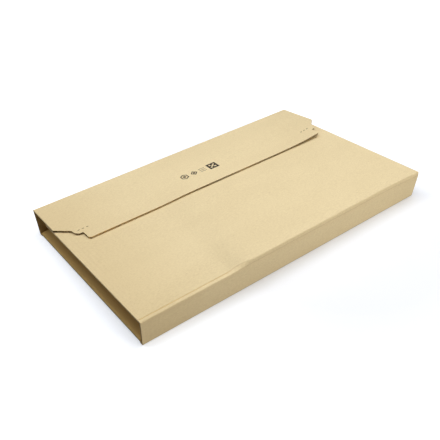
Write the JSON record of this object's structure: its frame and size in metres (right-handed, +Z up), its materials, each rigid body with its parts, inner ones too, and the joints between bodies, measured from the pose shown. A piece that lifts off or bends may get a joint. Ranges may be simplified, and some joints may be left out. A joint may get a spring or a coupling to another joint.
{
  "type": "corrugated wrap-around mailer",
  "caption": "Flat wrap-around mailer folded from one corrugated sheet, open at both ends, with a hinged closing flap that carries a tear strip and a self-seal strip.",
  "frame": {"origin": "middle of the length and depth, on the plane that the base rests on", "axes": "+X along the folds towards the end with the sprung flap corner, +Y from the front wall to the back wall with the closing flap's fold, +Z up"},
  "size_m": [0.52, 0.3211, 0.0509],
  "materials": {
    "kraft_board": "matt pale kraft liner",
    "tear_tape": "satin film tape",
    "adhesive": "tacky, slightly glossy",
    "release_paper": "smooth silicone-coated paper"
  },
  "bodies": {
    "body": {"wrap": "kraft_board"},
    "flap": {"closing_flap": "kraft_board", "tear_tape": "tear_tape", "adhesive_strip": "adhesive", "release_liner": "release_paper"}
  },
  "joints": [
    {"name": "closing_flap_hinge", "type": "hinge", "parent": "body", "child": "flap", "pos_m": [0, 0.1605, 0.041], "axis": [-1, 0, 0], "range_deg": [0, 180]}
  ]
}
